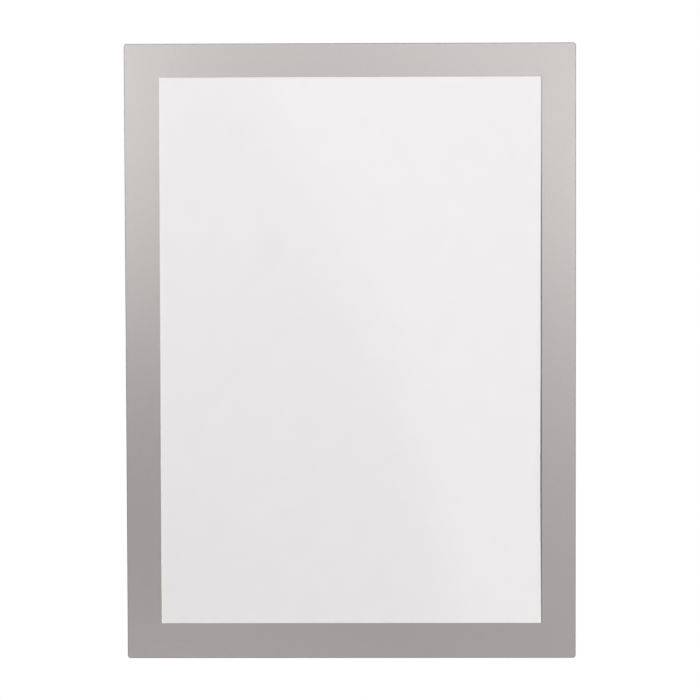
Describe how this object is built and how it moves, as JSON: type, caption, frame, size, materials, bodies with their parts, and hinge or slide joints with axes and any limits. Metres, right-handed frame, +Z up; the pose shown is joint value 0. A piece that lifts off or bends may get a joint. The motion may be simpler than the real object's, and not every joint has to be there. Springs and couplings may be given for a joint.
{
  "type": "magnetic display frame",
  "caption": "Flat upright frame with a silver border and clear window; its cover folds open on a film hinge to take a loose sheet, and magnet strips hold it on a steel board.",
  "frame": {"origin": "middle of the frame on the board's face, where the rear magnets rest", "axes": "+Z up along the long side, +X to the viewer's right, +Y into the board, so the window faces -Y"},
  "size_m": [0.236, 0.0033, 0.323],
  "materials": {
    "silver_film": "satin silver print",
    "clear_film": "clear, glossy",
    "magnet_rubber": "matt dark ferrite rubber",
    "batten_pvc": "matt grey",
    "tape": "translucent adhesive film",
    "panel_pvc": "matt light grey, finely embossed",
    "keeper_foil": "rolled steel foil",
    "hinge_film": "satin",
    "paper": "uncoated white"
  },
  "bodies": {
    "rear_panel": {"back_panel": "panel_pvc", "keeper_top": "keeper_foil", "keeper_bottom": "keeper_foil", "keeper_right": "keeper_foil", "rear_batten": "batten_pvc", "keeper_tape_top": "tape", "keeper_tape_bottom": "tape", "keeper_tape_right": "tape", "keeper_tape_left": "tape", "wall_magnet_top": "magnet_rubber", "wall_magnet_bottom": "magnet_rubber", "wall_magnet_left": "magnet_rubber", "wall_magnet_right": "magnet_rubber", "wall_tape_top": "tape", "wall_tape_bottom": "tape", "wall_tape_left": "tape", "wall_tape_right": "tape", "hinge_film": "hinge_film", "insert_sheet": "paper"},
    "front_cover": {"border_film": "silver_film", "window_film": "clear_film", "front_magnet_top": "magnet_rubber", "front_magnet_bottom": "magnet_rubber", "front_magnet_right": "magnet_rubber", "front_batten": "batten_pvc", "front_tape_top": "tape", "front_tape_bottom": "tape", "front_tape_right": "tape", "front_tape_left": "tape"}
  },
  "joints": [
    {"name": "cover_fold", "type": "hinge", "parent": "rear_panel", "child": "front_cover", "pos_m": [-0.1178, -0.0018, 0], "axis": [0, 0, -1], "range_deg": [0, 180], "deforming": ["hinge_film"]}
  ]
}
